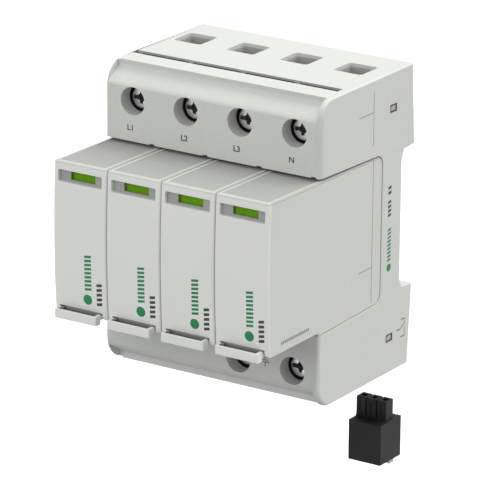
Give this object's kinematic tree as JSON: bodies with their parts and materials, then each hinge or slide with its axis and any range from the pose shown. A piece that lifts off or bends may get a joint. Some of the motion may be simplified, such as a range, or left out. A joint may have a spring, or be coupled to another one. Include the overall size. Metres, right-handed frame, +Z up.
{
  "type": "rail-mounted surge protector",
  "caption": "Modular surge protector for a distribution board: rail base with screw terminals, plug-in cartridges with status windows, and a signal plug.",
  "frame": {"origin": "centre of the seat that rests on the front face of the mounting rail", "axes": "+X to the right across the poles as seen from the front, +Y from front to back towards the panel, +Z up"},
  "size_m": [0.072, 0.0784, 0.1214],
  "materials": {
    "housing_plastic": "light grey moulded thermoplastic with a fine spark-eroded texture",
    "cartridge_plastic": "light grey moulded thermoplastic, smoother than the base",
    "black_plastic": "black moulded thermoplastic",
    "lever_plastic": "pale grey moulded thermoplastic",
    "flag_plastic": "bright green, smooth",
    "plated_steel": "zinc-plated steel",
    "copper": "bare copper strip",
    "varistor_coating": "dipped epoxy coating",
    "board_laminate": "glass-epoxy board with solder mask"
  },
  "bodies": {
    "base": {"base_housing": "housing_plastic", "base_rear": "housing_plastic", "side_cover_left": "housing_plastic", "side_cover_right": "housing_plastic", "rail_latch_spring": "plated_steel", "line_contact_1": "copper", "line_contact_2": "copper", "line_contact_3": "copper", "line_contact_4": "copper", "earth_busbar": "copper", "signal_microswitch": "black_plastic", "signal_circuit_board": "board_laminate", "signal_socket": "black_plastic"},
    "rail_latch": {"rail_latch": "black_plastic"},
    "signal_rocker": {"signal_rocker": "black_plastic"},
    "line_screw_1": {"line_screw_1": "plated_steel"},
    "line_clamp_1": {"line_clamp_1": "plated_steel"},
    "line_screw_2": {"line_screw_2": "plated_steel"},
    "line_clamp_2": {"line_clamp_2": "plated_steel"},
    "line_screw_3": {"line_screw_3": "plated_steel"},
    "line_clamp_3": {"line_clamp_3": "plated_steel"},
    "line_screw_4": {"line_screw_4": "plated_steel"},
    "line_clamp_4": {"line_clamp_4": "plated_steel"},
    "earth_screw_1": {"earth_screw_1": "plated_steel"},
    "earth_clamp_1": {"earth_clamp_1": "plated_steel"},
    "earth_screw_2": {"earth_screw_2": "plated_steel"},
    "earth_clamp_2": {"earth_clamp_2": "plated_steel"},
    "cartridge_1": {"cartridge_case_1": "cartridge_plastic", "cartridge_rear_1": "cartridge_plastic", "varistor_1": "varistor_coating", "line_blade_1": "copper", "earth_blade_1": "copper"},
    "status_flag_1": {"status_flag_1": "flag_plastic"},
    "release_latch_1": {"release_latch_1": "cartridge_plastic"},
    "cartridge_2": {"cartridge_case_2": "cartridge_plastic", "cartridge_rear_2": "cartridge_plastic", "varistor_2": "varistor_coating", "line_blade_2": "copper", "earth_blade_2": "copper"},
    "status_flag_2": {"status_flag_2": "flag_plastic"},
    "release_latch_2": {"release_latch_2": "cartridge_plastic"},
    "cartridge_3": {"cartridge_case_3": "cartridge_plastic", "cartridge_rear_3": "cartridge_plastic", "varistor_3": "varistor_coating", "line_blade_3": "copper", "earth_blade_3": "copper"},
    "status_flag_3": {"status_flag_3": "flag_plastic"},
    "release_latch_3": {"release_latch_3": "cartridge_plastic"},
    "cartridge_4": {"cartridge_case_4": "cartridge_plastic", "cartridge_rear_4": "cartridge_plastic", "varistor_4": "varistor_coating", "line_blade_4": "copper", "earth_blade_4": "copper"},
    "status_flag_4": {"status_flag_4": "flag_plastic"},
    "release_latch_4": {"release_latch_4": "cartridge_plastic"},
    "signal_plug": {"plug_housing": "black_plastic"},
    "plug_lever_1": {"plug_lever_1": "lever_plastic"},
    "plug_lever_2": {"plug_lever_2": "lever_plastic"},
    "plug_lever_3": {"plug_lever_3": "lever_plastic"}
  },
  "joints": [
    {"name": "rail_latch_slide", "type": "slide", "parent": "base", "child": "rail_latch", "axis": [0, 0, -1], "range_m": [0, 0.003], "stiffness_N_per_m": 2000, "springref_m": -0.002, "deforming": ["rail_latch_spring"]},
    {"name": "signal_rocker_tilt", "type": "hinge", "parent": "base", "child": "signal_rocker", "pos_m": [0, -0.005, 0], "axis": [-1, 0, 0], "range_deg": [0, 8], "stiffness_Nm_per_rad": 0.01},
    {"name": "line_screw_1_turn", "type": "hinge", "parent": "base", "child": "line_screw_1", "pos_m": [-0.027, -0.03, 0.0348], "axis": [0, 1, 0], "range_deg": [0, 3590]},
    {"name": "line_clamp_1_slide", "type": "slide", "parent": "base", "child": "line_clamp_1", "axis": [0, -1, 0], "range_m": [0, 0.00797]},
    {"name": "line_screw_2_turn", "type": "hinge", "parent": "base", "child": "line_screw_2", "pos_m": [-0.009, -0.03, 0.0348], "axis": [0, 1, 0], "range_deg": [0, 3590]},
    {"name": "line_clamp_2_slide", "type": "slide", "parent": "base", "child": "line_clamp_2", "axis": [0, -1, 0], "range_m": [0, 0.00797]},
    {"name": "line_screw_3_turn", "type": "hinge", "parent": "base", "child": "line_screw_3", "pos_m": [0.009, -0.03, 0.0348], "axis": [0, 1, 0], "range_deg": [0, 3590]},
    {"name": "line_clamp_3_slide", "type": "slide", "parent": "base", "child": "line_clamp_3", "axis": [0, -1, 0], "range_m": [0, 0.00797]},
    {"name": "line_screw_4_turn", "type": "hinge", "parent": "base", "child": "line_screw_4", "pos_m": [0.027, -0.03, 0.0348], "axis": [0, 1, 0], "range_deg": [0, 3590]},
    {"name": "line_clamp_4_slide", "type": "slide", "parent": "base", "child": "line_clamp_4", "axis": [0, -1, 0], "range_m": [0, 0.00797]},
    {"name": "earth_screw_1_turn", "type": "hinge", "parent": "base", "child": "earth_screw_1", "pos_m": [0.00925, -0.03, -0.0348], "axis": [0, 1, 0], "range_deg": [0, 3590]},
    {"name": "earth_clamp_1_slide", "type": "slide", "parent": "base", "child": "earth_clamp_1", "axis": [0, -1, 0], "range_m": [0, 0.00797]},
    {"name": "earth_screw_2_turn", "type": "hinge", "parent": "base", "child": "earth_screw_2", "pos_m": [0.02725, -0.03, -0.0348], "axis": [0, 1, 0], "range_deg": [0, 3590]},
    {"name": "earth_clamp_2_slide", "type": "slide", "parent": "base", "child": "earth_clamp_2", "axis": [0, -1, 0], "range_m": [0, 0.00797]},
    {"name": "cartridge_1_pull", "type": "slide", "parent": "base", "child": "cartridge_1", "axis": [0, -1, 0], "range_m": [0, 0.045]},
    {"name": "status_flag_1_drop", "type": "slide", "parent": "cartridge_1", "child": "status_flag_1", "axis": [0, 0, -1], "range_m": [0, 0.0036]},
    {"name": "release_latch_1_press", "type": "hinge", "parent": "cartridge_1", "child": "release_latch_1", "pos_m": [-0.027, -0.0445, -0.02115], "axis": [-1, 0, 0], "range_deg": [0, 1.5], "stiffness_Nm_per_rad": 0.5},
    {"name": "cartridge_2_pull", "type": "slide", "parent": "base", "child": "cartridge_2", "axis": [0, -1, 0], "range_m": [0, 0.045]},
    {"name": "status_flag_2_drop", "type": "slide", "parent": "cartridge_2", "child": "status_flag_2", "axis": [0, 0, -1], "range_m": [0, 0.0036]},
    {"name": "release_latch_2_press", "type": "hinge", "parent": "cartridge_2", "child": "release_latch_2", "pos_m": [-0.009, -0.0445, -0.02115], "axis": [-1, 0, 0], "range_deg": [0, 1.5], "stiffness_Nm_per_rad": 0.5},
    {"name": "cartridge_3_pull", "type": "slide", "parent": "base", "child": "cartridge_3", "axis": [0, -1, 0], "range_m": [0, 0.045]},
    {"name": "status_flag_3_drop", "type": "slide", "parent": "cartridge_3", "child": "status_flag_3", "axis": [0, 0, -1], "range_m": [0, 0.0036]},
    {"name": "release_latch_3_press", "type": "hinge", "parent": "cartridge_3", "child": "release_latch_3", "pos_m": [0.009, -0.0445, -0.02115], "axis": [-1, 0, 0], "range_deg": [0, 1.5], "stiffness_Nm_per_rad": 0.5},
    {"name": "cartridge_4_pull", "type": "slide", "parent": "base", "child": "cartridge_4", "axis": [0, -1, 0], "range_m": [0, 0.045]},
    {"name": "status_flag_4_drop", "type": "slide", "parent": "cartridge_4", "child": "status_flag_4", "axis": [0, 0, -1], "range_m": [0, 0.0036]},
    {"name": "release_latch_4_press", "type": "hinge", "parent": "cartridge_4", "child": "release_latch_4", "pos_m": [0.027, -0.0445, -0.02115], "axis": [-1, 0, 0], "range_deg": [0, 1.5], "stiffness_Nm_per_rad": 0.5},
    {"name": "signal_plug_insert", "type": "slide", "parent": "base", "child": "signal_plug", "axis": [0, 0, 1], "range_m": [0, 0.0165]},
    {"name": "plug_lever_1_press", "type": "slide", "parent": "signal_plug", "child": "plug_lever_1", "axis": [0, 0, 1], "range_m": [0, 0.0015], "stiffness_N_per_m": 400},
    {"name": "plug_lever_2_press", "type": "slide", "parent": "signal_plug", "child": "plug_lever_2", "axis": [0, 0, 1], "range_m": [0, 0.0015], "stiffness_N_per_m": 400},
    {"name": "plug_lever_3_press", "type": "slide", "parent": "signal_plug", "child": "plug_lever_3", "axis": [0, 0, 1], "range_m": [0, 0.0015], "stiffness_N_per_m": 400}
  ],
  "couplings": [
    {"joint": "line_screw_1_turn", "follows": "line_clamp_1_slide", "rad_per_m": 7854},
    {"joint": "line_screw_2_turn", "follows": "line_clamp_2_slide", "rad_per_m": 7854},
    {"joint": "line_screw_3_turn", "follows": "line_clamp_3_slide", "rad_per_m": 7854},
    {"joint": "line_screw_4_turn", "follows": "line_clamp_4_slide", "rad_per_m": 7854},
    {"joint": "earth_screw_1_turn", "follows": "earth_clamp_1_slide", "rad_per_m": 7854},
    {"joint": "earth_screw_2_turn", "follows": "earth_clamp_2_slide", "rad_per_m": 7854}
  ]
}
